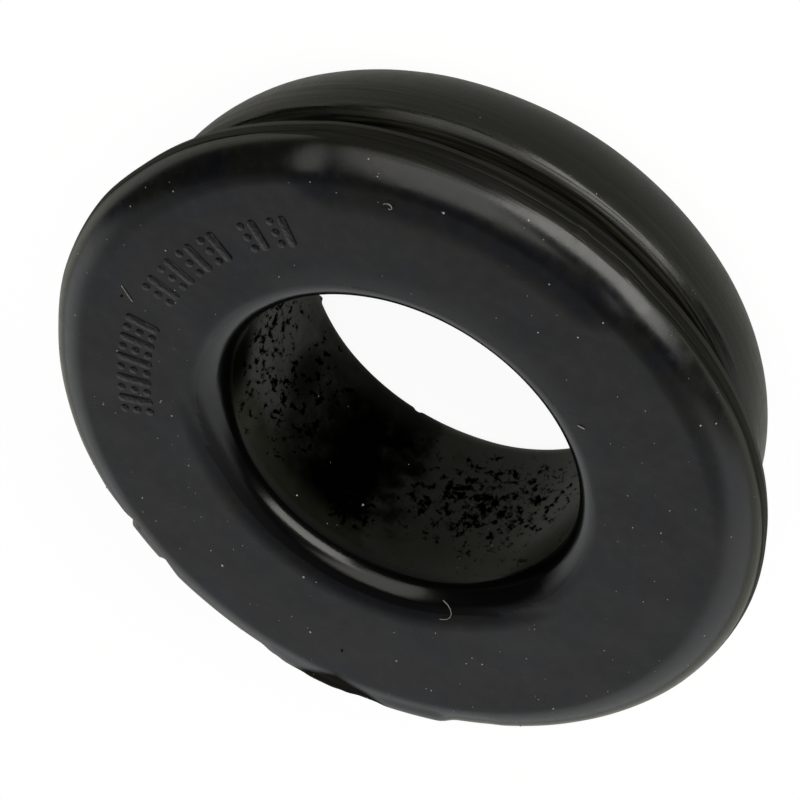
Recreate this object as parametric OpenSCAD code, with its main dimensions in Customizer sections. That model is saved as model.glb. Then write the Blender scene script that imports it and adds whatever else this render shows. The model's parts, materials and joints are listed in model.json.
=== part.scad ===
// Rubber grommet, moulded in one piece.
// A thin flat-faced flange stays on the outer side of a panel, a fat domed flange is
// pushed through the hole, and the neck between the two fills the hole. A cable or a
// pipe runs in the bore.
// Frame: +Z along the bore and out of the flat face. The domed flange rests on z = 0.

/* [Body] */
// Height over both flanges
height = 12.7; // [11.5:0.1:16]
// Diameter of the bore
bore_d = 19; // [15:0.5:20]
// Radius that rolls the flat face into the bore
mouth_r = 1.3; // [0.4:0.1:2]
// Radius on the bore's rim at the domed end
rear_rim_r = 1.2; // [0.3:0.1:1.4]

/* [Face flange] */
// Diameter of the flat-faced flange
face_d = 38; // [36:0.5:46]
// Thickness of the flat-faced flange
face_t = 2.6; // [2.4:0.1:3.4]
// Radius of the flange's outer edge
face_edge_r = 2.1; // [1.8:0.1:2.2]
// How far the trimmed back corner draws in
face_undercut = 0.15; // [0.05:0.05:0.3]

/* [Panel groove] */
// Diameter of the panel hole that the neck fills
groove_d = 28.6; // [26:0.2:30]
// Thickness of panel that the groove takes
groove_w = 3.2; // [2.4:0.1:3.8]
// Fillet at each corner of the groove's floor
groove_fillet_r = 0.5; // [0.2:0.1:1]

/* [Domed flange] */
// Diameter of the domed flange
rear_d = 33.8; // [33:0.2:38]
// Radius of its shoulder beside the groove
rear_shoulder_r = 1.1; // [0.5:0.1:1.4]
// Height of the straight wall between shoulder and dome
rear_wall_h = 0.4; // [0.2:0.1:1]
// Width of the flat ring that it rests on
rest_ring_w = 0.8; // [0.6:0.1:1.2]

/* [Trim lines] */
// Number of fine trim lines on each side of the groove
trim_line_count = 4; // [1:1:5]
// Depth of each trim line
trim_line_depth = 0.07; // [0.03:0.01:0.1]
// Turn from one trim line to the next around the rounded edge
trim_line_step = 7; // [5:1:8]

/* [Torn flash] */
// How far the long tear stands proud of the rounded edge
long_tear_proud = 0.2; // [0.1:0.05:0.35]
// How far the short tear stands proud of the rounded edge
short_tear_proud = 0.15; // [0.1:0.05:0.35]
// Radius of the bead that a tear leaves
tear_bead_r = 0.9; // [0.6:0.1:0.9]
// Place of the long tear around the flange, in degrees
long_tear_at = -81; // [-90:1:-70]
// Place of the short tear around the flange, in degrees
short_tear_at = -65; // [-70:1:-50]

/* [Knife cuts] */
// Depth of the first knife cut, which trimmed the flash
cut_depth = 0.24; // [0.16:0.02:0.4]
// Length of the first knife cut
cut_length = 1.9; // [1.5:0.1:2.8]
// Place of the first cut's end wall around the flange, in degrees
first_cut_at = -122; // [-130:0.5:-118]
// Place of the second cut's end wall around the flange, in degrees
second_cut_at = -114; // [-116:0.5:-105]

/* [Nicks] */
// Depth of the two small nicks
nick_depth = 0.16; // [0.05:0.01:0.3]
// Place of the nick in the dome, in degrees
dome_nick_at = 124; // [100:1:150]
// Place of the nick in the bore's rim, in degrees
rim_nick_at = -90; // [-110:1:-70]

/* [Hidden] */
$fn = 96;
over = 1;
bore_r = bore_d / 2;
face_r = face_d / 2;
rear_r = rear_d / 2;
groove_r = groove_d / 2;
rear_t = height - face_t - groove_w;
face_back_z = height - face_t;
dome_room = rear_r - bore_r - rear_rim_r - rest_ring_w;
dome_r = min(rear_t - rear_shoulder_r - rear_wall_h, dome_room);
edge_centre = [face_r - face_edge_r, height - face_edge_r];
shoulder_centre = [rear_r - rear_shoulder_r, rear_t - rear_shoulder_r];
dome_centre = [rear_r - dome_r, dome_r];
rim_centre = [bore_r + rear_rim_r, rear_rim_r];
// Radii that the two tears' beads turn on
long_tear_turn_r = 9;
short_tear_turn_r = 8;
// The knife cuts and the tears all meet the rounded edge at its middle
edge_slope = 45;
// The second knife cut is that share of the first, in depth and in length
second_cut_share = 0.7;
// Slope of the surface that both nicks lie on
nick_slope = -47;

// A point of a rounded edge: its centre, its radius and the surface's slope there
function on_edge(centre, r, slope) = [centre[0] + r * cos(slope), centre[1] + r * sin(slope)];

// The region between a square corner and a round of radius r. The corner is at the
// origin and the round lies on its +x, +y side. Cut away, it rounds an edge; added, it
// fillets a hollow corner.
module corner(r) {
    difference() {
        translate([-over, -over])
            square(r + over);
        translate([r, r])
            circle(r);
    }
}

// Half section of the body, with the bore's axis on the left
module section() {
    difference() {
        union() {
            translate([bore_r, 0])
                square([groove_r - bore_r, height]);
            translate([bore_r, 0])
                square([rear_r - bore_r, rear_t]);
            translate([bore_r, face_back_z])
                square([face_r - bore_r, face_t]);
            translate([groove_r, rear_t])
                corner(groove_fillet_r);
            translate([groove_r, face_back_z])
                mirror([0, 1])
                    corner(groove_fillet_r);
        }
        translate([bore_r, height])
            mirror([0, 1])
                corner(mouth_r);
        translate([bore_r, 0])
            corner(rear_rim_r);
        translate([face_r, height])
            rotate(180)
                corner(face_edge_r);
        translate([rear_r, rear_t])
            rotate(180)
                corner(rear_shoulder_r);
        translate([rear_r, 0])
            mirror([1, 0])
                corner(dome_r);
        polygon([
            [face_r, edge_centre[1]],
            [face_r - face_undercut, face_back_z],
            [face_r - face_undercut, face_back_z - over],
            [face_r + over, face_back_z - over],
            [face_r + over, edge_centre[1]]
        ]);
    }
}

// One fine ring cut, V shaped, around a rounded edge
module trim_line(centre, r, slope) {
    at = on_edge(centre, r, slope);
    rotate_extrude()
        translate(at)
            rotate(slope + 45)
                square(trim_line_depth * sqrt(2), center = true);
}

// The turned body, with the fine rings where flash was trimmed from both sides of the
// groove
module turned_body() {
    difference() {
        rotate_extrude()
            section();
        for (i = [1 : trim_line_count]) {
            trim_line(edge_centre, face_edge_r, i * trim_line_step);
            trim_line(shoulder_centre, rear_shoulder_r, i * 2 * trim_line_step);
        }
    }
}

// A bead of torn flash that rises out of the rounded edge and sinks back into it.
// It turns on a centre well off the bore's axis, so both of its ends are buried.
module torn_flash(at, proud, turn_r) {
    reach = on_edge(edge_centre, face_edge_r - tear_bead_r + proud, edge_slope);
    rotate(at)
        translate([reach[0] - turn_r, 0, reach[1]])
            rotate(-edge_slope)
                rotate_extrude(angle = 2 * edge_slope)
                    translate([turn_r, 0])
                        circle(tear_bead_r);
}

// A shallow cut with a steep wall at one end, left by a knife on the rounded edge.
// It runs to lower angles with way = -1 and to higher angles with way = 1.
module knife_cut(at, depth, length, way) {
    foot = on_edge(edge_centre, face_edge_r - depth, edge_slope);
    sag = length * length / (2 * face_r);
    rise = atan((depth - sag) / length);
    reach = face_edge_r + over;
    rotate(at)
        translate([foot[0], 0, foot[1]])
            rotate([0, -edge_slope, 0])
                rotate([0, 0, -way * rise])
                    translate([0, way < 0 ? -2 * length : 0, -reach])
                        cube([reach, 2 * length, 2 * reach]);
}

// A nick with a V section, lying along the slope of a rounded edge
module nick(at, centre, r, slope) {
    foot = on_edge(centre, r, slope);
    side = nick_depth * sqrt(2);
    rotate(at)
        translate([foot[0], 0, foot[1]])
            rotate([0, -slope, 0])
                rotate([0, 0, 45])
                    cube([side, side, 1.5 * over], center = true);
}

module grommet() {
    color("#1b1c1d")
        difference() {
            union() {
                turned_body();
                torn_flash(long_tear_at, long_tear_proud, long_tear_turn_r);
                torn_flash(short_tear_at, short_tear_proud, short_tear_turn_r);
            }
            knife_cut(first_cut_at, cut_depth, cut_length, -1);
            knife_cut(second_cut_at, second_cut_share * cut_depth, second_cut_share * cut_length, 1);
            nick(dome_nick_at, dome_centre, dome_r, nick_slope);
            nick(rim_nick_at, rim_centre, rear_rim_r, 180 - nick_slope);
        }
}

grommet();
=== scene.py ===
# %% [markdown]
# # A rubber grommet
# A grommet is one moulding of black rubber. It sits in a hole in a panel and keeps a
# cable or a pipe from chafing on the metal. The packed model gives its size and its
# place: the bore runs along Z, the domed flange rests on the floor at z = 0, and the
# flat face looks up.

# %% Load the frame
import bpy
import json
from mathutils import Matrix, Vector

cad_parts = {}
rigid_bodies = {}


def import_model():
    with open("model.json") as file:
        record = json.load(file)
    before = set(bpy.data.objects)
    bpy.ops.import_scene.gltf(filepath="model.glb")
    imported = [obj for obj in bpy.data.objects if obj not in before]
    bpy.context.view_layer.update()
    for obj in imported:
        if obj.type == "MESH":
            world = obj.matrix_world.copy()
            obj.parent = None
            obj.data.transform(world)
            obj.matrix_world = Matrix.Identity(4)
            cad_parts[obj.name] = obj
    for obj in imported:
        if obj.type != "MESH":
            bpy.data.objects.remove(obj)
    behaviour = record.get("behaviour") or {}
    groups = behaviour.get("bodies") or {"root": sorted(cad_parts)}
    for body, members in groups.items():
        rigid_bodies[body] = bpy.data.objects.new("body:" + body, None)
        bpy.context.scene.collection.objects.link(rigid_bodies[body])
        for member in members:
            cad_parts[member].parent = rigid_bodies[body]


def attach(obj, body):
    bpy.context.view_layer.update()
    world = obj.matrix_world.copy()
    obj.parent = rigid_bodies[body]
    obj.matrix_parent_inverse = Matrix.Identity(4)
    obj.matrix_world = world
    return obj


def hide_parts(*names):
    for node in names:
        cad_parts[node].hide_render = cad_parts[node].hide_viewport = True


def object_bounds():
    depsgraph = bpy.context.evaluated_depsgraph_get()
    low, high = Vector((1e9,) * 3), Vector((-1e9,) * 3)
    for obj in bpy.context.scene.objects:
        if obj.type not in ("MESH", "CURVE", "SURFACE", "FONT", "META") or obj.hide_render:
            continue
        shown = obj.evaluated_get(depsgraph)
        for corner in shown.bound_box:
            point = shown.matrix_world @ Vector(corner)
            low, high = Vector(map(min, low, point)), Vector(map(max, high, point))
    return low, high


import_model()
cad_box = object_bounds()
print("CAD box, mm:", [[round(1000 * c, 2) for c in corner] for corner in cad_box])

# %% [markdown]
# Everything below is written in millimetres and multiplied by `mm`, because Blender
# works in metres and the real part is only as wide as a bottle cap. A place on a turned
# part is easiest to give by its radius, its bearing around the axis and its height.

# %% Tools that every cell shares
import json
import math
import random

import bmesh
import bpy
from mathutils import Matrix, Vector

mm = 0.001
random.seed(7)
scene = bpy.context.scene


def free_selection():
    """Leave edit mode and let go of everything, so that an operator meets only its own piece."""
    if bpy.context.object and bpy.context.object.mode != "OBJECT":
        bpy.ops.object.mode_set(mode="OBJECT")
    bpy.ops.object.select_all(action="DESELECT")


def pick(test):
    """Select the vertices of the piece in edit mode whose place, in mm, passes the test."""
    mesh = bmesh.from_edit_mesh(bpy.context.object.data)
    bpy.ops.mesh.select_all(action="DESELECT")
    count = 0
    for v in mesh.verts:
        if test(v.co / mm):
            v.select = True
            count += 1
    mesh.select_flush_mode()
    bmesh.update_edit_mesh(bpy.context.object.data)
    return count


def radius(p):
    """Distance from the bore's axis."""
    return math.hypot(p.x, p.y)


def bearing(p):
    """Angle around the bore's axis, in degrees."""
    return math.degrees(math.atan2(p.y, p.x))


def around(r, bearing_deg, z):
    """A place at a radius, a bearing and a height, in mm."""
    a = math.radians(bearing_deg)
    return Vector((r * math.cos(a), r * math.sin(a), z))


print("a place at radius 10, bearing 90:", [round(c, 3) for c in around(10, 90, 0)])

# %% [markdown]
# ## Camera
# The view is three quarters from above, with a long lens so that the rings stay true
# ellipses. The camera is rolled a long way, so the bore's axis runs down to the left of
# the frame: the grommet looks as if it leans back and shows its face and its groove at
# the same time. Two small turns put the object in the middle of the frame.

# %% Place the camera
view_from_axis = 47.6
view_roll = -148.6
view_distance = 380
lens_length = 341.46
aim_across, aim_along = 0.321, -0.193

turn = (
    Matrix.Rotation(math.pi, 3, "Z")
    @ Matrix.Rotation(math.radians(view_from_axis), 3, "X")
    @ Matrix.Rotation(math.radians(view_roll), 3, "Z")
)
aim = (
    Matrix.Rotation(math.radians(aim_across), 3, "Y")
    @ Matrix.Rotation(math.radians(aim_along), 3, "X")
)
middle = (cad_box[0] + cad_box[1]) / 2
free_selection()
bpy.ops.object.camera_add(
    location=middle + turn @ Vector((0, 0, view_distance * mm)),
    rotation=(turn @ aim).to_euler(),
)
camera = bpy.context.object
camera.name = "camera"
camera.data.sensor_width = 36
camera.data.lens = lens_length
camera.data.clip_start = 0.01
scene.camera = camera
scene.view_settings.view_transform = "Standard"
print("camera at, mm:", [round(c / mm, 1) for c in camera.location], "lens", round(camera.data.lens, 1))

# %% [markdown]
# ## Light and floor
# Black rubber shows almost nothing but reflections, so the surroundings make the
# picture. Behind the grommet stands a white sweep that fades towards the ceiling, and
# the rest of the room is dark. It draws soft grey on the flat face and a dark band where
# the edge rolls over. Two soft boxes in front draw the highlights.
#
# The room, the paper and each rubber are nets of nodes. They could be wired one node at
# a time, but a helper that adds a node and joins it up lets a net read like a formula.


# %% Wiring helper
class Wiring:
    """A net of nodes, with shortcuts that each add one node, join it and return its output."""

    def __init__(self, tree):
        self.nodes, self.links = tree.nodes, tree.links

    def wire(self, out_socket, in_socket):
        self.links.new(out_socket, in_socket)

    def feed(self, value, socket):
        """Set a socket to a number, a vector or a colour, or join it to another node."""
        if isinstance(value, (int, float)):
            socket.default_value = value
        elif isinstance(value, tuple):
            socket.default_value = (*value, 1) if socket.type == "RGBA" else value
        else:
            self.wire(value, socket)

    def math(self, operation, *values):
        n = self.nodes.new("ShaderNodeMath")
        n.operation = operation
        for value, socket in zip(values, n.inputs):
            self.feed(value, socket)
        return n.outputs[0]

    def dot(self, vector, other):
        """How far one vector reaches along another."""
        return self.vector_math("DOT_PRODUCT", vector, other).outputs["Value"]

    def distance(self, vector, other):
        """How far one place lies from another."""
        return self.vector_math("DISTANCE", vector, other).outputs["Value"]

    def scaled(self, vector, factor):
        """A vector, or a colour, multiplied by a number."""
        n = self.vector_math("SCALE", vector)
        self.feed(factor, n.inputs["Scale"])
        return n.outputs["Vector"]

    def vector_math(self, operation, *values):
        n = self.nodes.new("ShaderNodeVectorMath")
        n.operation = operation
        for value, socket in zip(values, n.inputs):
            self.feed(value, socket)
        return n

    def ramp(self, value, points):
        """A brightness that changes with the value, from (position, brightness) pairs."""
        n = self.nodes.new("ShaderNodeValToRGB")
        stops = n.color_ramp.elements
        while len(stops) < len(points):
            stops.new(0.5)
        for stop, (position, grey) in zip(stops, points):
            stop.position = position
            stop.color = (grey, grey, grey, 1)
        self.wire(value, n.inputs["Fac"])
        return n.outputs["Color"]

    def between(self, value, low, high, to_low=0.0, to_high=1.0):
        """Map a value smoothly from one range to another, and hold it at the ends."""
        n = self.nodes.new("ShaderNodeMapRange")
        n.interpolation_type = "SMOOTHSTEP"
        self.wire(value, n.inputs["Value"])
        for name, v in (("From Min", low), ("From Max", high), ("To Min", to_low), ("To Max", to_high)):
            n.inputs[name].default_value = v
        return n.outputs["Result"]

    def mix_shaders(self, factor, one, other):
        """Show one shader where the factor is 0 and the other where it is 1."""
        n = self.nodes.new("ShaderNodeMixShader")
        for value, socket in zip((factor, one, other), n.inputs):
            self.wire(value, socket)
        return n.outputs[0]


print("shortcuts:", [name for name in vars(Wiring) if name[0] != "_"])

# %% [markdown]
# The world's light can only depend on the way a ray looks. The sweep is a ramp over the
# ray's height, which is tilted a little, times a soft edge over its bearing. Everywhere
# else only the dim light of the room is left.

# %% World: a white sweep behind the grommet, dark elsewhere
world = bpy.data.worlds.new("studio")
scene.world = world
world.use_nodes = True
sky = Wiring(world.node_tree)
way = sky.nodes.new("ShaderNodeTexCoord").outputs["Generated"]
tilted_up = (-0.2, 0, 1)
fade_up = sky.ramp(sky.dot(way, tilted_up), [
    (0.5, 0.96), (0.6, 0.72), (0.64, 0.42), (0.665, 0.335), (0.71, 0.325), (0.762, 0.31),
    (0.82, 0.2), (0.86, 0.14), (0.97, 0.04),
])
sweep_bearing = math.radians(-65)
sweep_way = (math.cos(sweep_bearing), math.sin(sweep_bearing), 0)
level_way = sky.vector_math("MULTIPLY", way, (1, 1, 0)).outputs["Vector"]
level_way = sky.vector_math("NORMALIZE", level_way).outputs["Vector"]
sweep_edge = sky.between(sky.dot(level_way, sweep_way), 0.12, 0.46)
room_light = 0.02
background = sky.nodes["Background"]
background.inputs["Color"].default_value = (0.97, 0.985, 1, 1)
sky.wire(
    sky.math("ADD", sky.math("MULTIPLY", fade_up, sweep_edge), room_light),
    background.inputs["Strength"],
)
print("world:", len(sky.nodes), "nodes")

# %% [markdown]
# A soft box is a rectangular area lamp. Its shape shows in the highlight, so a wide low
# box and a tall one are used instead of a point of light. Each is placed by bearing and
# height, and turned so that it looks at the middle of the grommet.


# %% Soft boxes
def soft_box(name, bearing_deg, height_deg, distance, width, depth, watts):
    """A rectangular lamp that looks at the grommet from a bearing and a height."""
    free_selection()
    a, h = math.radians(bearing_deg), math.radians(height_deg)
    place = Vector((math.cos(a) * math.cos(h), math.sin(a) * math.cos(h), math.sin(h)))
    bpy.ops.object.light_add(type="AREA", location=middle + place * distance * mm)
    lamp = bpy.context.object
    lamp.name = name
    lamp.rotation_euler = place.to_track_quat("Z", "Y").to_euler()
    lamp.data.shape = "RECTANGLE"
    lamp.data.size = width * mm
    lamp.data.size_y = depth * mm
    lamp.data.energy = watts
    lamp.data.color = (1, 0.985, 0.93)
    return lamp


key = soft_box("key_soft_box", 72.5, 24, distance=300, width=290, depth=195, watts=0.82)
fill = soft_box("tall_soft_box", 126, 48, distance=300, width=200, depth=376, watts=0.40)
print("lamps:", [(lamp.name, round(lamp.data.energy, 2)) for lamp in (key, fill)])

# %% [markdown]
# The floor is pale paper. Seen directly it is shown almost white, with a soft shadow.
# Black rubber mirrors the paper as it is lit, shadow and all, so only a small part of
# that extra white goes to mirrored rays. Three soft shades are painted into the paper's
# colour, in front of the grommet, beside it and behind it: painted shadow, which the
# rubber mirrors.

# %% Floor
floor_width = 6000
free_selection()
bpy.ops.mesh.primitive_plane_add(size=floor_width * mm, location=(0, 0, 0))
floor = bpy.context.object
floor.name = "floor"
pale_paper = bpy.data.materials.new("pale_paper")
pale_paper.use_nodes = True
floor.data.materials.append(pale_paper)
paper = Wiring(pale_paper.node_tree)
paper.nodes.clear()
spot = paper.nodes.new("ShaderNodeTexCoord").outputs["Object"]


def shade_round(x, y, near, far, depth):
    """A soft round shade painted into the paper's colour, `depth` dark in its middle. Sizes in mm."""
    away = paper.distance(spot, (x * mm, y * mm, 0))
    return paper.between(away, near * mm, far * mm, 1 - depth, 1)


# Painted shadow: each shade darkens the paper's colour, not its light.
shade_in_front = shade_round(0, 26, near=20, far=40, depth=0.55)
shade_beside = shade_round(-24, -8, near=6, far=20, depth=0.7)
shade_behind = shade_round(-4, -44, near=6, far=16, depth=0.45)
shades = paper.math("MULTIPLY", paper.math("MULTIPLY", shade_in_front, shade_beside), shade_behind)
print("floor:", floor_width, "mm wide, with three soft shades")

# %% [markdown]
# Paper that is lit until it looks white would whiten the rubber too. So it has two
# shaders. One takes light and shade as paper does. The other, a dark grey with a glow
# added, is what the camera sees: nearly white, and still with a faint shadow. Light Path
# tells which ray is looking and mixes the two.

# %% Paper
paper_brightness, paper_tint = 0.8, (0.99, 0.985, 0.88)
shown_grey, shown_glow, mirrored_share = (0.12, 0.12, 0.12), 0.93, 0.12

lit = paper.nodes.new("ShaderNodeBsdfDiffuse")
paper.wire(
    paper.scaled(paper_tint, paper.math("MULTIPLY", shades, paper_brightness)),
    lit.inputs["Color"],
)
shown = paper.nodes.new("ShaderNodeBsdfDiffuse")
paper.feed(shown_grey, shown.inputs["Color"])
glow = paper.nodes.new("ShaderNodeEmission")
glow.inputs["Strength"].default_value = shown_glow
white = paper.nodes.new("ShaderNodeAddShader")
paper.wire(shown.outputs[0], white.inputs[0])
paper.wire(glow.outputs[0], white.inputs[1])

ray = paper.nodes.new("ShaderNodeLightPath").outputs
mirrored = paper.math("MAXIMUM", ray["Is Glossy Ray"], ray["Is Transmission Ray"])
mirrored = paper.math("MULTIPLY", mirrored, mirrored_share)
show_white = paper.math("MAXIMUM", ray["Is Camera Ray"], mirrored)
surface = paper.mix_shaders(show_white, lit.outputs[0], white.outputs[0])
paper.wire(surface, paper.nodes.new("ShaderNodeOutputMaterial").inputs["Surface"])
print("paper:", len(paper.nodes), "nodes")

# %% [markdown]
# ## The moulding
# The whole grommet is one turned shape. It could be put together from cylinders and
# rings, but a spun section gives one closed skin. Half of the section is drawn with
# square corners, each corner is rounded by its own radius, and the section is spun
# around the bore's axis. The sizes are those of the packed model, so the two agree
# wherever the later steps leave the skin alone.

# %% Draw the section with square corners
bore_r, neck_r, dome_r_out, face_r = 9.5, 14.3, 16.9, 19.0
top_z, edge_z, back_z, shoulder_z = 12.7, 10.6, 10.1, 6.9
undercut = 0.15

section = [
    (bore_r, 0),
    (bore_r, top_z),
    (face_r, top_z),
    (face_r, edge_z),
    (face_r - undercut, back_z),
    (neck_r, back_z),
    (neck_r, shoulder_z),
    (dome_r_out, shoulder_z),
    (dome_r_out, 0),
]


def start_piece(name):
    """Add a small square under a new name and open it for editing, with all of it selected."""
    free_selection()
    bpy.ops.mesh.primitive_plane_add(size=mm, location=(0, 0, 0))
    piece = bpy.context.object
    piece.name = name
    bpy.ops.object.mode_set(mode="EDIT")
    bpy.ops.mesh.select_all(action="SELECT")
    return piece


def near(p, r, z, reach=0.001):
    """True if the point lies at radius r and height z on the section."""
    return abs(p.x - r) < reach and abs(p.z - z) < reach


grommet = start_piece("grommet_rubber")
bpy.ops.mesh.merge(type="CENTER")
bpy.ops.transform.translate(value=(section[0][0] * mm, 0, section[0][1] * mm))
for here, there in zip(section, section[1:]):
    step = ((there[0] - here[0]) * mm, 0, (there[1] - here[1]) * mm)
    bpy.ops.mesh.extrude_region_move(TRANSFORM_OT_translate={"value": step})
pick(lambda p: near(p, *section[0]) or near(p, *section[-1]))
bpy.ops.mesh.edge_face_add()
print("section corners:", len(section))

# %% [markdown]
# A vertex bevel with `profile=0.5` turns a square corner into a true quarter circle.
# The outer edge gets many short steps, because fine trim lines are cut into it next.


# %% Round the corners
def round_corner(r, z, size, steps):
    """Turn the square corner at (r, z) into a quarter circle of that radius."""
    pick(lambda p: near(p, r, z))
    bpy.ops.mesh.bevel(
        offset=size * mm, segments=steps, profile=0.5, affect="VERTICES", clamp_overlap=False
    )


mouth_round, rim_round, edge_round = 1.3, 1.2, 2.1
shoulder_round, dome_round, neck_fillet = 1.1, 5.4, 0.5
edge_steps, shoulder_steps = 36, 22
round_corner(bore_r, 0, rim_round, 9)
round_corner(bore_r, top_z, mouth_round, 16)
round_corner(face_r, top_z, edge_round, edge_steps)
round_corner(neck_r, back_z, neck_fillet, 3)
round_corner(neck_r, shoulder_z, neck_fillet, 3)
round_corner(dome_r_out, shoulder_z, shoulder_round, shoulder_steps)
round_corner(dome_r_out, 0, dome_round, 26)
print("section points after rounding:", len(bmesh.from_edit_mesh(grommet.data).verts))

# %% [markdown]
# The straight lines between the rounds have no points of their own yet. Points are added
# wherever the skin will be bent later, most of all on the flat face.


# %% Divide the straight lines
def divide(r0, z0, r1, z1, cuts):
    """Cut the straight line between two places on the section into more steps."""
    pick(lambda p: near(p, r0, z0) or near(p, r1, z1))
    bpy.ops.mesh.subdivide(number_cuts=cuts)


divide(bore_r, rim_round, bore_r, top_z - mouth_round, 11)
divide(bore_r + mouth_round, top_z, face_r - edge_round, top_z, 24)
divide(face_r, edge_z, face_r - undercut, back_z, 4)
divide(face_r - undercut, back_z, neck_r + neck_fillet, back_z, 5)
divide(neck_r + neck_fillet, shoulder_z, dome_r_out - shoulder_round, shoulder_z, 3)
merge_reach = 0.0001 * mm
bpy.ops.mesh.select_all(action="SELECT")
bpy.ops.mesh.remove_doubles(threshold=merge_reach)
print("section points:", len(bmesh.from_edit_mesh(grommet.data).verts))

# %% [markdown]
# Where the flash was trimmed off, a knife left fine rings on both sides of the groove.
# They could be painted as a bump, but real grooves catch the light from every side. So
# some points of the section are pulled a little towards the centre of their round, and
# the spin makes a ring of each.


# %% Cut the trim lines
def trim_ring(centre, size, slope, depth):
    """Sink the point of a round that lies at this slope, and return how many were found."""
    a = math.radians(slope)
    r, z = centre[0] + size * math.cos(a), centre[1] + size * math.sin(a)
    found = pick(lambda p: near(p, r, z, 0.012))
    if found:
        shrink = 1 - depth / size
        middle_of_round = (centre[0] * mm, 0, centre[1] * mm)
        bpy.ops.transform.resize(value=(shrink, 1, shrink), center_override=middle_of_round)
    return found


edge_centre = (face_r - edge_round, edge_z)
shoulder_centre = (dome_r_out - shoulder_round, shoulder_z - shoulder_round)
rings_cut = 0
for i in range(0, 8, 2):
    depth = random.uniform(0.02, 0.06)
    rings_cut += trim_ring(edge_centre, edge_round, 90 / edge_steps * (i + 1), depth)
for i in range(8, 21, 2):
    depth = random.uniform(0.015, 0.05)
    rings_cut += trim_ring(shoulder_centre, shoulder_round, 90 / shoulder_steps * (i + 1), depth)
print("trim lines:", rings_cut)

# %% [markdown]
# A spin about the bore's axis turns the section into the moulding. Its last copy lands
# on its first, so the doubles along that seam are merged, and then the normals are made
# to point outwards.

# %% Spin the section
turn_steps = 560
bpy.ops.mesh.select_all(action="SELECT")
bpy.ops.mesh.spin(steps=turn_steps, angle=2 * math.pi, center=(0, 0, 0), axis=(0, 0, 1))
bpy.ops.mesh.select_all(action="SELECT")
bpy.ops.mesh.remove_doubles(threshold=merge_reach)
bpy.ops.mesh.normals_make_consistent(inside=False)
print("spun faces:", len(bmesh.from_edit_mesh(grommet.data).faces))

# %% [markdown]
# The two halves of the mould did not meet quite square, so the domed flange sits a
# quarter of a millimetre to one side. It could be a piece of its own, but moving its
# points alone keeps the skin in one.

# %% Shift the domed flange
halves_apart = 0.25
shifted = pick(lambda p: radius(p) > 11 and p.z < shoulder_z + 0.2)
bpy.ops.transform.translate(value=(-halves_apart * mm, 0, 0))
print("shifted:", shifted, "points")

# %% [markdown]
# Rubber shrinks unevenly as it cools. The face sags a little towards the edge on one
# side, and the outline bulges by a tenth of a millimetre on another. A few points are
# moved with proportional editing, which takes the skin around them along and fades out.


# %% Sag of the face
def pull(way, reach, falloff="SMOOTH"):
    """Move what is picked by a vector in mm, and let the skin within reach follow."""
    bpy.ops.transform.translate(
        value=way * mm, use_proportional_edit=True,
        proportional_edit_falloff=falloff, proportional_size=reach * mm,
    )


sagging = pick(lambda p: radius(p) > 17.9 and p.z > 11.3 and abs(bearing(p) - 100) < 24)
pull(Vector((0, 0, -0.22)), 2.5)
bulging = pick(lambda p: radius(p) > 18.5 and p.z > 10 and abs(bearing(p)) > 172)
pull(Vector((-0.09, 0, 0)), 4)
print("sagging:", sagging, "points, bulging:", bulging, "points")

# %% [markdown]
# The mouth of the bore is rolled wider at the sides and behind, where the face also
# sinks towards it. No single operator bends a mouth by its bearing, so each point is
# given a new place. In front and at the sides the quarter circle only changes its size.
# Behind it becomes a round that turns less and ends on a slope. A soft step blends the two.


# %% The wider mouth
def soft_step(value, low, high):
    """0 below low, 1 above high, and an even S between them."""
    t = min(1, max(0, (value - low) / (high - low)))
    return t * t * (3 - 2 * t)


# The mouth is widest and deepest at this bearing. Beyond this radius the face stays still.
deepest_at, still_r = -88, 12.0
# Behind, the round has this radius, starts this far from the bore's wall towards the
# axis, has its centre this deep under the face and turns by this angle and not by 90.
sunk_round, sunk_inwards, sunk_centre, sunk_turn = 1.15, 0.08, 1.354, 72
# It ends at this radius and depth, and from there the face climbs back at this slope,
# which dies out over this reach.
sunk_r, sunk_z, sunk_slope, sunk_reach = 10.215, 0.26, 0.325, 1.2
# In front, the round keeps this share of its size and the face sinks by this much
# towards it. At the sides the share is greater by up to this much.
front_growth, more_growth, most_front_sink = 0.95, 0.45, 0.03


def remould(p):
    """Where a point of the mouth, or of the face beside it, lies after the rubber shrank."""
    turn_off = abs(bearing(p) - deepest_at)
    turn_off = min(turn_off, 360 - turn_off)
    behind = 0.5 + 0.5 * math.cos(math.radians(turn_off))
    growth = front_growth + more_growth * min(1, 1.5 * behind) ** 1.5
    sunk = 1 - soft_step(turn_off, 40, 74)
    front_sink = most_front_sink * soft_step(turn_off, 90, 140)
    out, down = radius(p) - bore_r, top_z - p.z
    if out < mouth_round + 0.001:
        slope = sunk_turn / 90 * math.atan2(mouth_round - down, mouth_round - out)
        plain = out * growth, down * growth + front_sink
        dipped = (
            sunk_round * (1 - math.cos(slope)) - sunk_inwards,
            sunk_centre - sunk_round * math.sin(slope),
        )
    else:
        share = (out - mouth_round) / (still_r - bore_r - mouth_round)
        start = mouth_round * growth
        plain = start + share * (still_r - bore_r - start), front_sink * (1 - share) ** 2
        start = sunk_r - bore_r
        r = start + share * (still_r - bore_r - start)
        x = min(1, (r - start) / sunk_reach)
        dipped = r, sunk_z - sunk_slope * sunk_reach * (x - x ** 3 / 3)
    out, down = (a + (b - a) * sunk for a, b in zip(plain, dipped))
    return around(bore_r + out, bearing(p), top_z - down)


mesh = bmesh.from_edit_mesh(grommet.data)
moved = 0
for v in mesh.verts:
    p = v.co / mm
    if radius(p) < still_r and p.z > top_z - mouth_round - 0.001:
        v.co = remould(p) * mm
        moved += 1
bmesh.update_edit_mesh(grommet.data)
print("remoulded the mouth by moving", moved, "points")

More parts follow.
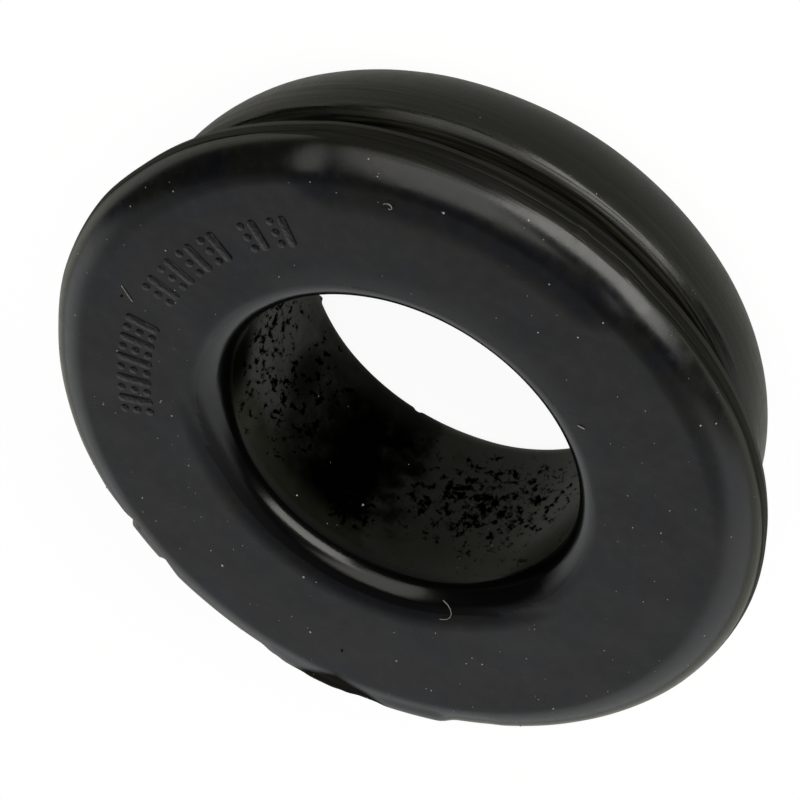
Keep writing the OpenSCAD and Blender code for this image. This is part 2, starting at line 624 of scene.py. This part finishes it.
# %% [markdown]
# ## Damage
# A knife that slipped off the rounded edge leaves a flat facet with a steep end. A
# Boolean would cut it, but it leaves slivers that shade badly. So the vertices above the
# facet are scaled to nothing along its normal, which presses them onto one plane, just
# as a knife would. Between the two cuts the edge is pressed in a little.


# %% Knife cuts
def on_edge(bearing_deg, slope_deg, size):
    """A place on the rounded edge of the face flange, in mm."""
    s = math.radians(slope_deg)
    r, z = edge_centre[0] + size * math.cos(s), edge_centre[1] + size * math.sin(s)
    return around(r, bearing_deg, z)


def slope_on_edge(p):
    """How far round the rounded edge a place lies, from 0 at its outside to 90 at the face."""
    return math.degrees(math.atan2(p.z - edge_centre[1], radius(p) - edge_centre[0]))


def slice_edge(steep_end, shallow_end, depth):
    """Press the rounded edge onto a plane that is deep at one bearing and runs out at the other."""
    deep, run_out = on_edge(steep_end, 45, edge_round - depth), on_edge(shallow_end, 45, edge_round)
    along = (run_out - deep).normalized()
    outward = (on_edge(steep_end, 45, edge_round + 1) - deep).normalized()
    across = along.cross(outward).normalized()
    normal = across.cross(along).normalized()
    if normal.dot(outward) < 0:
        normal = -normal
    low, high = sorted((steep_end, shallow_end))

    def above_facet(p):
        on_flange = p.z > back_z + 0.3 and radius(p) > 16
        return low <= bearing(p) <= high and on_flange and (p - deep).dot(normal) > 0

    moved = pick(above_facet)
    facet = Matrix((along, across, normal)).transposed()
    bpy.ops.transform.resize(
        value=(1, 1, 0), orient_type="GLOBAL", orient_matrix=facet, orient_matrix_type="GLOBAL",
        constraint_axis=(False, False, True), center_override=deep * mm,
    )
    return moved


print("first cut:", slice_edge(-124.3, -128.5, 0.09), slice_edge(-121.2, -125.4, 0.35), "points")
print("second cut:", slice_edge(-113.9, -109.6, 0.20), "points")
pressed = pick(lambda p: -121.4 < bearing(p) < -114.1 and 25 < slope_on_edge(p) < 65)
pull((on_edge(-118, 45, 0) - on_edge(-118, 45, 1)) * 0.015, 0.6)
print("between the cuts:", pressed, "points")

# %% [markdown]
# Where the flash was torn off instead of cut, a low lip stands proud of the edge. It is
# pulled out with proportional editing, in a few overlapping stretches. Past its end the
# edge is drawn in a little.


# %% Torn flash
def on_lip(p):
    """True on the rounded edge of the face flange, where the flash was."""
    return radius(p) > 16.5 and p.z > edge_z


def pull_lip(start, end, low_slope, high_slope, height, reach):
    """Pull a stretch of the rounded edge outwards."""
    count = pick(
        lambda p: start <= bearing(p) <= end and low_slope <= slope_on_edge(p) <= high_slope and on_lip(p)
    )
    way_out = on_edge((start + end) / 2, 45, 1) - on_edge((start + end) / 2, 45, 0)
    pull(way_out * height, reach)
    return count


# Bearings of both ends, slopes of both sides, height and reach of each stretch
stretches = (
    (-90.3, -59.8, 30, 56, 0.12, 0.8),
    (-88, -76, 34, 52, 0.08, 0.7),
    (-83.5, -79, 34, 50, 0.045, 0.5),
    (-69.5, -60.8, 32, 58, 0.07, 0.8),
    (-57, -52, 30, 60, -0.04, 1.0),
)
print("torn flash:", [pull_lip(*stretch) for stretch in stretches], "points")

# %% [markdown]
# Small knocks are left: a nick in the dome, a nick and a crumb on the bore's lower rim,
# and a crumb on the outer edge. A few points are moved with a sharp falloff, which ends
# in a point where a smooth one would leave a soft dent.


# %% Nicks
def knock(at, half_turn, r_range, z_range, way, reach):
    """Pull a few points of the skin one way, sharply, and return how many."""
    count = pick(
        lambda p: abs(bearing(p) - at) < half_turn
        and r_range[0] < radius(p) < r_range[1]
        and z_range[0] < p.z < z_range[1]
    )
    pull(way, reach, "SHARP")
    return count


knocks = (
    (124, 0.7, (12, 20), (1.2, 1.75), Vector((0.56, -0.83, 0)) * 0.22, 0.4),
    (-90.5, 0.4, (9, 10.2), (-1, 0.5), Vector((0, -0.15, 0.12)), 0.32),
    (-139, 0.4, (9, 10.2), (-1, 0.5), Vector((0.1, 0.09, -0.05)), 0.3),
    (83.5, 1.2, (18.3, 20), (10.7, 11.3), Vector((0.1, 0.99, 0.3)) * 0.09, 0.5),
)
print("knocks:", [knock(*place) for place in knocks], "points")

# %% [markdown]
# No moulding is dead true. A displacement of a few hundredths of a millimetre, from a
# soft cloud pattern, lets the highlights waver as they do on real rubber.

# %% Slight waves
wave_length, wave_height = 5, 0.05
bpy.ops.object.mode_set(mode="OBJECT")
waves = bpy.data.textures.new("waves", type="CLOUDS")
waves.noise_scale = wave_length * mm
waves.noise_depth = 1
wave = grommet.modifiers.new("slight_waves", "DISPLACE")
wave.texture = waves
wave.texture_coords = "LOCAL"
wave.strength = wave_height * mm
wave.mid_level = 0.5
bpy.ops.object.modifier_apply(modifier="slight_waves")
bpy.ops.object.shade_smooth_by_angle(angle=math.radians(50))
print("moulding:", len(grommet.data.polygons), "faces")

# %% [markdown]
# ## Rubber
# One rubber, five finishes: the skin that came out of the mould, the land that a knife
# trimmed, the polished bore with its bloom, the torn lip and the raised marks. Each
# finish goes to its own faces. They share a few more shortcuts: noise, rings around the
# axis, mixed colours, bumps and a second layer over the first.


# %% Finish helper
class Finish(Wiring):
    """A material whose patterns are laid out on the object, in mm."""

    def __init__(self, name):
        self.material = bpy.data.materials.new(name)
        self.material.use_nodes = True
        super().__init__(self.material.node_tree)
        self.skin = self.nodes["Principled BSDF"]
        self.place = self.nodes.new("ShaderNodeTexCoord").outputs["Object"]

    def vector(self, x, y, z):
        n = self.nodes.new("ShaderNodeCombineXYZ")
        for value, socket in zip((x, y, z), n.inputs):
            self.feed(value, socket)
        return n.outputs[0]

    def polar(self):
        """Place and radius in mm and the bearing in degrees, as sockets."""
        s = self.nodes.new("ShaderNodeSeparateXYZ")
        self.wire(self.place, s.inputs[0])
        x, y, z = (self.math("DIVIDE", o, mm) for o in s.outputs)
        r = self.math("SQRT", self.math("ADD", self.math("MULTIPLY", x, x), self.math("MULTIPLY", y, y)))
        turn_deg = self.math("MULTIPLY", self.math("ARCTAN2", y, x), 180 / math.pi)
        return x, y, r, z, turn_deg

    def edge_slope(self, r, z):
        """How far round the rounded edge a point lies: 0 at its outside, 90 degrees at the face."""
        up, out = self.math("SUBTRACT", z, edge_centre[1]), self.math("SUBTRACT", r, edge_centre[0])
        return self.math("MULTIPLY", self.math("ARCTAN2", up, out), 180 / math.pi)

    def noise(self, size, detail=2.0, vector=None, roughness=0.5):
        """Soft noise with features of `size` mm, or of 1 where another vector is given."""
        n = self.nodes.new("ShaderNodeTexNoise")
        n.inputs["Scale"].default_value = 1 / (size * mm) if vector is None else 1
        n.inputs["Detail"].default_value = detail
        n.inputs["Roughness"].default_value = roughness
        self.wire(self.place if vector is None else vector, n.inputs["Vector"])
        return n.outputs["Fac"]

    def rings(self, fineness, length, detail=3.0):
        """Lines that run around the bore's axis, `fineness` to the mm and `length` mm long."""
        n = self.nodes.new("ShaderNodeTexNoise")
        n.noise_dimensions = "4D"
        n.inputs["Scale"].default_value = 1
        n.inputs["Detail"].default_value = detail
        n.inputs["Roughness"].default_value = 0.6
        x, y, r, z, _ = self.polar()
        drift = self.math("MULTIPLY", self.math("ADD", x, y), 0.1)
        self.wire(self.vector(
            self.math("ADD", self.math("MULTIPLY", r, fineness), drift),
            self.math("SUBTRACT", self.math("MULTIPLY", z, fineness), drift),
            self.math("DIVIDE", x, length),
        ), n.inputs["Vector"])
        self.wire(self.math("DIVIDE", y, length), n.inputs["W"])
        return n.outputs["Fac"]

    def blend(self, factor, one, other):
        """Mix two colours."""
        n = self.nodes.new("ShaderNodeMix")
        n.data_type = "RGBA"
        self.wire(factor, n.inputs["Factor"])
        for value, key_name in ((one, "A_Color"), (other, "B_Color")):
            self.feed(value, next(s for s in n.inputs if s.identifier == key_name))
        return next(s for s in n.outputs if s.identifier == "Result_Color")

    def bump(self, height, depth, normal=None):
        """Raise the surface by `depth` mm where the height is 1."""
        n = self.nodes.new("ShaderNodeBump")
        n.inputs["Strength"].default_value = 1
        n.inputs["Distance"].default_value = depth * mm
        self.wire(height, n.inputs["Height"])
        if normal is not None:
            self.wire(normal, n.inputs["Normal"])
        return n.outputs["Normal"]

    def layer(self, mask, base, roughness, specular):
        """Lay a second finish over the first where the mask is 1, and return it."""
        top = self.nodes.new("ShaderNodeBsdfPrincipled")
        top.inputs["Roughness"].default_value = roughness
        top.inputs["Specular IOR Level"].default_value = specular
        self.feed(base, top.inputs["Base Color"])
        both = self.mix_shaders(mask, self.skin.outputs[0], top.outputs[0])
        self.wire(both, self.nodes["Material Output"].inputs["Surface"])
        return top


print("shortcuts:", [name for name in vars(Finish) if name[0] != "_"])

# %% [markdown]
# Fresh from the mould the skin is satin black. A flat black would look like plastic, so
# its tone drifts between a cool one and olive, its gloss drifts too, and a grain of two
# thousandths of a millimetre takes the edge off every reflection.


# %% Moulded skin
def mould_skin(finish, cool=(0.0021, 0.0024, 0.0042), olive=(0.0036, 0.0036, 0.0025)):
    """Set the tone and gloss of the mould's satin skin, and return its grain as a bump."""
    mottle = finish.between(finish.noise(3, 3), 0.35, 0.65)
    finish.wire(finish.blend(mottle, cool, olive), finish.skin.inputs["Base Color"])
    gloss = finish.between(finish.noise(0.7, 4), 0.3, 0.7, 0.22, 0.29)
    finish.wire(gloss, finish.skin.inputs["Roughness"])
    return finish.bump(finish.noise(0.12, 2), 0.002)


moulded = Finish("moulded_rubber")
moulded.wire(mould_skin(moulded), moulded.skin.inputs["Normal"])
print("moulded skin:", len(moulded.nodes), "nodes")

# %% [markdown]
# A turning knife left long fine lines on the land beside the groove. They fade out over
# the shoulder of the domed flange, where only broad soft streaks are left. On the face
# flange the land ends at a slope that changes with the bearing, and the end is frayed by
# the fine lines.

# %% Trimmed land: where it lies
trimmed = Finish("trimmed_rubber")
grain = mould_skin(trimmed, cool=(0.003, 0.0033, 0.0016))
_, _, r, z, turn_deg = trimmed.polar()
lines = trimmed.rings(5.5, 9)
fine_lines = trimmed.rings(12, 5)
streaks = trimmed.rings(2.2, 14, 1.0)


def turn_from(at):
    """Degrees around the axis from a bearing."""
    return trimmed.math("ABSOLUTE", trimmed.math("SUBTRACT", turn_deg, at))


fray = trimmed.math("MULTIPLY", trimmed.math("SUBTRACT", fine_lines, 0.5), 14)
frayed_slope = trimmed.math("ADD", trimmed.edge_slope(r, z), fray)
land_slope = trimmed.between(turn_from(90), 25, 50, 20, 13)
fade_slope = trimmed.between(turn_from(108), 4, 22, 20, 4)
over_land = trimmed.math("DIVIDE", trimmed.math("SUBTRACT", frayed_slope, land_slope), fade_slope)
face_land = trimmed.between(over_land, 0, 1, 1, 0)
face_land = trimmed.math("MULTIPLY", face_land, trimmed.between(z, 9.9, 10.0))
ragged_z = trimmed.math("ADD", z, trimmed.math("MULTIPLY", lines, 0.7))
shoulder_land = trimmed.between(ragged_z, 6.6, 7.2)
shoulder_land = trimmed.math("MULTIPLY", shoulder_land, trimmed.between(z, 10.05, 10.0))
land = trimmed.math("MAXIMUM", face_land, shoulder_land)
print("trimmed land:", len(trimmed.nodes), "nodes so far")

# %% [markdown]
# The cut land is duller than the skin. Its lines are dark and the rubber between them
# is paler. That paler rubber is painted lighter on the shoulder, as painted light where
# the face flange shades it, and darker on the edge, as painted shade where the soft box
# lights it. It is laid over the skin as a second finish, with the lines raised on it.

# %% Trimmed land: lines and tone
both_lines = trimmed.math(
    "ADD", trimmed.math("MULTIPLY", lines, 0.6), trimmed.math("MULTIPLY", fine_lines, 0.4)
)
dark_line = (0.0008, 0.0007, 0.0005)
# Painted light and shade: the shoulder's tone is lighter and the edge's darker.
shoulder_tone_and_painted_light, edge_tone_and_painted_shade = (0.021, 0.0205, 0.0145), (0.0058, 0.0056, 0.003)
land_tone_and_painted_light = trimmed.blend(trimmed.between(z, 7.2, 10.0), shoulder_tone_and_painted_light, edge_tone_and_painted_shade)
land_tone = trimmed.blend(trimmed.between(both_lines, 0.4, 0.6), dark_line, land_tone_and_painted_light)
cut_land = trimmed.layer(land, land_tone, roughness=0.42, specular=0.15)
raised_lines = trimmed.bump(fine_lines, 0.012, trimmed.bump(lines, 0.03))
trimmed.wire(raised_lines, cut_land.inputs["Normal"])

on_shoulder = trimmed.math("MULTIPLY", trimmed.between(z, 3.4, 5.6), trimmed.between(z, 9.0, 7.0))
soft_lines = trimmed.math("ADD", streaks, trimmed.math("MULTIPLY", lines, 0.5))
soft_lines = trimmed.math("MULTIPLY", soft_lines, on_shoulder)
trimmed.wire(trimmed.bump(soft_lines, 0.05, grain), trimmed.skin.inputs["Normal"])
print("trimmed land:", len(trimmed.nodes), "nodes")

# %% [markdown]
# The bore was moulded on a polished pin. A thin olive bloom has come out of the rubber
# there, painted a lighter grey towards both ends as painted reflection. Soot of carbon
# black lies over it, thick in the middle, and breaks up into specks on both sides. A
# painted image could show all this, but noise and ramps need no unwrapping and stay
# sharp from near by. The thick soot is a ramp along the wall with two soft ovals added
# to it. The oval at bearing -163, just under the mouth, is painted shade, not soot.

# %% Bore: thick soot and a painted shade
bore = Finish("bore_rubber")
x, y, _, z, turn_deg = bore.polar()


def patch(at, at_z, half_turn, half_height, weight):
    """A soft oval on the bore's wall, from 0 outside to `weight` in its middle."""
    across = bore.math("DIVIDE", bore.math("SUBTRACT", turn_deg, at), half_turn)
    up = bore.math("DIVIDE", bore.math("SUBTRACT", z, at_z), half_height)
    away = bore.math("ADD", bore.math("MULTIPLY", across, across), bore.math("MULTIPLY", up, up))
    return bore.between(away, 0, 1.6, weight, 0)


def along_wall(points, ragged):
    """A brightness along the wall behind, from (bearing, brightness) pairs from -180 to 0."""
    edge = bore.math("MULTIPLY", bore.math("SUBTRACT", bore.noise(1.1, 4), 0.5), ragged)
    from_start = bore.math("ADD", bore.math("ADD", turn_deg, edge), 180)
    half_turns = bore.math("DIVIDE", from_start, 180)
    return bore.ramp(half_turns, [((b + 180) / 180, grey) for b, grey in points])


thick_soot_and_painted_shade = along_wall([
    (-152, 0), (-143, 0.08), (-136, 0.3), (-130, 0.52), (-120, 0.74), (-112, 0.9), (-104, 1.0),
    (-92, 1.0), (-86, 0.85), (-80, 0.4), (-70, 0.15), (-45, 0),
], 34)
thick_soot_and_painted_shade = bore.math("MULTIPLY", thick_soot_and_painted_shade, bore.between(z, 0.8, 3.0, 0.75, 1))
thick_soot_and_painted_shade = bore.math("MULTIPLY", thick_soot_and_painted_shade, bore.between(z, 9.0, 10.4, 1, 0.6))
# Painted shade: this oval at bearing -163, just under the mouth, is dark like soot.
thick_soot_and_painted_shade = bore.math("MAXIMUM", thick_soot_and_painted_shade, patch(-163, 10.2, 13, 2.0, 0.9))
thick_soot_and_painted_shade = bore.math("MAXIMUM", thick_soot_and_painted_shade, patch(-128, 4.6, 9, 2.6, 0.85))
print("thick soot:", len(bore.nodes), "nodes so far")

# %% [markdown]
# The specks were wiped along the wall at a slant when the pin was drawn. So the noise
# is looked up at a place that is squeezed to half along that slant, which draws it out
# to streaks. Where an oval adds a little to it, more of it passes the threshold.

# %% Bore: specks
slant_y, slant_z = 0.74, 0.67
speck_size = 0.4
slant = bore.dot(bore.place, (0, slant_y, slant_z))
back_along = bore.math("MULTIPLY", slant, -0.5 / mm)
wiped = bore.vector(
    x,
    bore.math("ADD", y, bore.math("MULTIPLY", back_along, slant_y)),
    bore.math("ADD", z, bore.math("MULTIPLY", back_along, slant_z)),
)
specks = bore.noise(1, 5, bore.scaled(wiped, 1 / speck_size), 0.64)

# Bearing, height, half the turn, half the height and weight of each oval
for oval in (
    (-152, 6.8, 22, 4.4, 0.115),
    (-54, 5.4, 34, 3.8, 0.13),
    (-122, 5.2, 14, 4.6, 0.14),
    (-68, 4.6, 5, 1.1, 0.06),
    (-56, 5.5, 5, 1.4, 0.06),
    (-93, 8.5, 9, 2.2, 0.2),
):
    specks = bore.math("ADD", specks, patch(*oval))
soot_and_painted_shade = bore.math("MAXIMUM", thick_soot_and_painted_shade, bore.between(specks, 0.585, 0.715))
print("specks:", len(bore.nodes), "nodes so far")

# %% [markdown]
# Under the soot lies the bloom. It is worn thin in the middle of the wall. Towards both
# ends it is painted a lighter grey, as painted reflection, and it stops where the mouth
# was polished. The soot and the painted shade go on last, as a dull second finish.

# %% Bore: bloom, painted reflection and polish
bloom, thick_bloom = (0.0082, 0.0088, 0.0036), (0.0128, 0.0134, 0.0062)
worn, painted_reflection_grey = (0.0012, 0.0012, 0.0009), (0.036, 0.037, 0.037)
bare_black, soot_and_painted_shade_black = (0.0008, 0.0008, 0.0008), (0.0003, 0.0003, 0.0003)
bloom_left = along_wall([(-96, 1), (-84, 0.5), (-60, 0.45), (-42, 0.5), (-32, 1)], 8)
# Painted reflection: a lighter grey towards both ends of the wall.
painted_reflection_ends = along_wall([(-180, 1), (-136, 1), (-126, 0), (-38, 0), (-28, 0.55), (-20, 0.5)], 10)
painted_reflection_ends = bore.math("MULTIPLY", painted_reflection_ends, bore.between(z, 9.4, 8.0))
polished = bore.between(z, 10.6, 11.3)

wall = bore.blend(bore.between(bore.noise(1.6, 4), 0.35, 0.65), bloom, thick_bloom)
wall = bore.blend(bloom_left, worn, wall)
wall = bore.blend(painted_reflection_ends, wall, painted_reflection_grey)
bore.wire(bore.blend(polished, wall, bare_black), bore.skin.inputs["Base Color"])
bore.wire(bore.between(polished, 0, 1, 0.34, 0.2), bore.skin.inputs["Roughness"])
bore.skin.inputs["Specular IOR Level"].default_value = 0.42
wiping = bore.math("MULTIPLY", bore.rings(5, 12), polished)
fine_grain = bore.bump(bore.noise(0.15, 2), 0.003)
bore.wire(bore.bump(wiping, 0.012, fine_grain), bore.skin.inputs["Normal"])
below_mouth = bore.between(polished, 0, 1, 1, 0)
bore.layer(bore.math("MULTIPLY", soot_and_painted_shade, below_mouth), soot_and_painted_shade_black, roughness=0.9, specular=0.0)
print("bore:", len(bore.nodes), "nodes")

# %% [markdown]
# Torn rubber is dull, rough and a little brown, because the tear bares what lies under
# the skin. Its upper edge wanders, so the height of that edge is a ramp over the
# bearing, and crumbs roughen it. Below the edge the raw rubber is laid over the skin.

# %% Torn lip
torn = Finish("torn_rubber")
torn.wire(mould_skin(torn), torn.skin.inputs["Normal"])
_, _, r, z, turn_deg = torn.polar()
crumbs = torn.rings(7, 3)
tear_start, tear_turn = -96, 30
# Bearing, and the slope on the rounded edge up to which the tear reaches there
tear_tops = (
    (-94, 38), (-90, 42), (-87, 48), (-85, 58), (-83, 69), (-81, 78), (-78.6, 88), (-76, 80),
    (-73, 72), (-70, 58), (-67.5, 40),
)
along_tear = torn.math("DIVIDE", torn.math("SUBTRACT", turn_deg, tear_start), tear_turn)
tear_top = torn.ramp(along_tear, [((b - tear_start) / tear_turn, top / 90) for b, top in tear_tops])
crumbled_slope = torn.math("ADD", torn.edge_slope(r, z), torn.math("MULTIPLY", crumbs, 8))
below = torn.math("SUBTRACT", torn.math("MULTIPLY", tear_top, 90), crumbled_slope)

dark_tear, brown_tear = (0.0026, 0.0022, 0.0014), (0.0135, 0.0105, 0.0062)
crumb_gap = (0.0018, 0.0014, 0.0008)
tear_tone = torn.blend(torn.between(turn_deg, -72, -82), dark_tear, brown_tear)
tear_tone = torn.blend(torn.between(crumbs, 0.35, 0.65), crumb_gap, tear_tone)
raw = torn.layer(torn.between(below, -12, 2), tear_tone, roughness=0.8, specular=0.06)
torn.wire(torn.bump(crumbs, 0.03), raw.inputs["Normal"])
print("torn lip:", len(torn.nodes), "nodes")

# %% [markdown]
# Each finish has a slot on the moulding, and each face keeps the number of its slot. The
# faces are picked by the place of their centre, so the pick holds on a finer mesh.

# %% Give each finish its faces
# Every face has slot 0, the moulded skin, until it is given another one
trimmed_slot, bore_slot, torn_slot = 1, 2, 3
for finish in (moulded, trimmed, bore, torn):
    grommet.data.materials.append(finish.material)


def assign(slot_index, test):
    """Give the faces whose centre passes the test to one finish."""
    count = 0
    for face in grommet.data.polygons:
        if test(face.center / mm):
            face.material_index = slot_index
            count += 1
    return count


def trimmed_here(p):
    """True around the groove, up to where the skin of the rounded edge is whole."""
    return radius(p) > neck_r - 0.1 and p.z > 3 and not (radius(p) > 16 and slope_on_edge(p) > 34)


def bore_here(p):
    """True on the bore's wall and on most of its rolled mouth."""
    return radius(p) < bore_r + mouth_round * 0.92 and p.z > 0.4


def torn_here(p):
    """True around the brown patch where the lip tore."""
    return on_lip(p) and -95 < bearing(p) < -66.5 and slope_on_edge(p) > 36


print("trimmed faces:", assign(trimmed_slot, trimmed_here))
print("bore faces:", assign(bore_slot, bore_here))
print("torn faces:", assign(torn_slot, torn_here))
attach(grommet, "root")
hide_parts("grommet")

# %% [markdown]
# ## Raised marks
# The mould had engraved marks, so they stand proud of the face. Here they are plain
# bars and dots that spell nothing. A bump would do from above, but not against the
# light. So each is a circle that is stretched, extruded with a softened rim and turned
# about the bore's axis.

# %% Raised marks
mark_r, mark_relief = 14.1, 0.06
bar_length, bar_width = 1.9, 0.45
dot_length, dot_width, dot_gap, dot_turn = 0.42, 0.4, 0.7, 2.75
bar_bearings = (-152.3, -157.8, -163.3, -168.8, -174.3, 172.9, 166.3, 159.7, 153.1, 142.5, 135.5)
mark_middle = Vector((mark_r, 0, top_z)) * mm


def add_mark(length, width, out_by, bearing_deg):
    """Add one raised mark with round ends, lying along the radius at a bearing."""
    bpy.ops.mesh.select_all(action="DESELECT")
    foot = mark_middle + Vector((out_by, 0, -mark_relief)) * mm
    bpy.ops.mesh.primitive_circle_add(vertices=20, radius=width / 2 * mm, fill_type="NGON", location=foot)
    mesh = bmesh.from_edit_mesh(marks.data)
    outline = [v for v in mesh.verts if v.select]
    for side in (1, -1):
        for v in mesh.verts:
            v.select = v in outline and (v.co.x - foot.x) * side > -0.00001 * mm
        mesh.select_flush_mode()
        bmesh.update_edit_mesh(marks.data)
        bpy.ops.transform.translate(value=(side * (length - width) / 2 * mm, 0, 0))
    bpy.ops.mesh.select_linked()
    # Its foot lies as far under the face as its top stands over it: 1.6 + 0.25 + 0.15 = 2
    bpy.ops.mesh.extrude_region_move(TRANSFORM_OT_translate={"value": (0, 0, 1.6 * mark_relief * mm)})
    for step, shrink in ((0.25, 0.97), (0.15, 0.9)):
        bpy.ops.mesh.extrude_region_move(TRANSFORM_OT_translate={"value": (0, 0, step * mark_relief * mm)})
        bpy.ops.transform.resize(value=(shrink ** (width / length), shrink, 1), center_override=foot)
    bpy.ops.mesh.select_linked()
    # With no window this operator turns the other way round, so the bearing is negative
    bpy.ops.transform.rotate(value=math.radians(-bearing_deg), orient_axis="Z", center_override=(0, 0, 0))


marks = start_piece("raised_marks")
bpy.ops.mesh.delete(type="VERT")
for at in bar_bearings:
    add_mark(bar_length, bar_width, 0, at)
    for out_by in (-dot_gap, 0, dot_gap):
        add_mark(dot_length, dot_width, out_by, at + dot_turn)
bpy.ops.mesh.select_all(action="SELECT")
bpy.ops.mesh.normals_make_consistent(inside=False)
bpy.ops.object.mode_set(mode="OBJECT")
bpy.ops.object.shade_smooth_by_angle(angle=math.radians(40))
print("marks:", len(marks.data.polygons), "faces")

# %% [markdown]
# The marks are of the same rubber, but their engraving was never polished. So their tone
# and their bump come from one fine noise, and they glint a little less than the face.

# %% Finish of the marks
mark_finish = Finish("mark_rubber")
roughened = mark_finish.noise(0.2, 4)
mark_tone = mark_finish.blend(
    mark_finish.between(roughened, 0.35, 0.65), (0.0014, 0.0013, 0.0008), (0.0046, 0.0044, 0.0028)
)
mark_finish.wire(mark_tone, mark_finish.skin.inputs["Base Color"])
mark_finish.wire(mark_finish.bump(roughened, 0.05), mark_finish.skin.inputs["Normal"])
mark_finish.skin.inputs["Roughness"].default_value = 0.36
mark_finish.skin.inputs["Specular IOR Level"].default_value = 0.42
marks.data.materials.append(mark_finish.material)
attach(marks, "root")
print("finish of the marks:", len(mark_finish.nodes), "nodes")

# %% [markdown]
# ## Dust and lint
# Rubber holds dust by static. The specks are tiny balls of a few hundredths of a
# millimetre, each placed on the nearest spot of the finished moulding. Particles could
# strew them, but balls in a mesh stay where they are put. Most places are random, with a
# fixed seed, and the largest specks are placed one by one.

# %% Dust
dust = start_piece("dust")
bpy.ops.mesh.delete(type="VERT")


def add_speck(place, size):
    """Set one speck of dust on the moulding at the spot nearest to the place."""
    _, spot, _, _ = grommet.closest_point_on_mesh(place * mm)
    bpy.ops.mesh.primitive_ico_sphere_add(subdivisions=1, radius=size * mm, location=spot)


# Number, radii and heights of the specks on the face, on its edge and on the dome
for count, r_range, z_range in (
    (120, (11.2, 17.2), (12.7, 12.7)), (45, (17.4, 19.2), (11.2, 12.7)), (28, (16.2, 17.6), (2.5, 6.5)),
):
    for i in range(count):
        place = around(random.uniform(*r_range), random.uniform(-180, 180), random.uniform(*z_range))
        add_speck(place, 0.022 + 0.03 * random.random() ** 3)
for i in range(16):
    place = around(9.4, random.uniform(-170, -15), random.uniform(1, 11))
    add_speck(place, random.uniform(0.015, 0.032))
# Radius, bearing, height and size of the largest specks
for r, b, z, size in (
    (9.4, -90, 8.2, 0.08), (9.4, -109, 10.4, 0.06), (14.7, -107.8, 12.7, 0.08), (11.5, -93.3, 12.7, 0.07),
    (14.9, -85.8, 12.7, 0.07), (14.4, -67.2, 12.7, 0.06), (17.1, 103.5, 12.7, 0.07), (18.7, 91, 12.0, 0.06),
    (13.4, 143.5, 12.7, 0.05), (15, 72, 12.7, 0.06), (13.4, 77.6, 12.7, 0.05), (17.8, 48, 12.5, 0.06),
):
    add_speck(around(r, b, z), size)
grit = [around(15.1, -78.7, top_z), around(15.6, -178.5, top_z)]
for place in grit:
    add_speck(place, 0.08)
bpy.ops.object.mode_set(mode="OBJECT")
bpy.ops.object.shade_smooth()
print("dust:", len(dust.data.polygons), "faces")

# %% [markdown]
# Dust is matt and pale grey, with a little noise so that no two specks are alike. Two
# grains are grit from the floor, nearly black. They are found again by their places.


# %% Finish of the dust
def matt_finish(name, noise_size, dark, light, roughness):
    """A matt material whose tone drifts between two colours."""
    finish = Finish(name)
    tone = finish.blend(finish.noise(noise_size), dark, light)
    finish.wire(tone, finish.skin.inputs["Base Color"])
    finish.skin.inputs["Roughness"].default_value = roughness
    return finish


dust_grey = matt_finish("dust_grey", 0.3, (0.14, 0.14, 0.12), (0.42, 0.42, 0.38), 0.9)
grit_black = matt_finish("grit_black", 0.1, (0.0008, 0.0007, 0.0005), (0.002, 0.002, 0.0015), 0.9)
grit_black.skin.inputs["Specular IOR Level"].default_value = 0.1
grit_slot = 1
dust.data.materials.append(dust_grey.material)
dust.data.materials.append(grit_black.material)
for face in dust.data.polygons:
    if any((face.center / mm - place).length < 0.2 for place in grit):
        face.material_index = grit_slot
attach(dust, "root")
print("grit:", sum(face.material_index == grit_slot for face in dust.data.polygons), "faces")

# %% [markdown]
# Lint is a few bent hairs. Each is drawn as a curve through five places, which bends as
# a fibre does, given a thickness and then made a mesh.


# %% Lint
def add_lint(name, thickness, places):
    """A thin tube drawn through five places, each a radius, a bearing and a lift over the face."""
    free_selection()
    bpy.ops.curve.primitive_nurbs_path_add(location=(0, 0, 0))
    hair = bpy.context.object
    hair.name = name
    for point, (r, bearing_deg, lift) in zip(hair.data.splines[0].points, places):
        point.co = (*(around(r, bearing_deg, on_face + lift) * mm), 1)
    hair.data.bevel_depth = thickness / 2 * mm
    hair.data.bevel_resolution = 1
    hair.data.splines[0].resolution_u = 6
    bpy.ops.object.convert(target="MESH")
    bpy.ops.object.shade_smooth()
    hair.data.materials.append(fibre.material)
    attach(hair, "root")
    print(hair.name, len(hair.data.polygons), "faces")


fibre = matt_finish("lint_fibre", 0.5, (0.10, 0.10, 0.09), (0.28, 0.28, 0.25), 0.7)
on_face = top_z + 0.03
add_lint("lint_curl", 0.05, (
    (16.56, 113.8, 0), (16.8, 112.6, 0.05), (16.65, 111.9, 0.08), (16.3, 112, 0.05), (16.33, 112.95, 0),
))
add_lint("lint_hair", 0.045, (
    (9.85, -52.9, -0.43), (10.05, -50.6, -0.28), (10.45, -49.6, -0.16), (10.9, -50.5, -0.04),
    (10.8, -54.3, -0.04),
))
add_lint("lint_dash", 0.055, (
    (11.3, 52.3, 0), (11.36, 52, 0.03), (11.42, 51.6, 0.03), (11.5, 51.3, 0.03), (11.55, 50.9, 0),
))
add_lint("lint_short", 0.04, (
    (15.87, 179, 0), (15.64, 179.5, 0.03), (15.41, 180, 0.04), (15.16, 180.8, 0.03), (15.0, 181.2, 0),
))

# %% [markdown]
# ## Sizes
# The box around all that is shown should agree with the packed model's box to about a
# tenth of a millimetre: the bulge, the waves, the marks and the lint are all that stand
# proud.
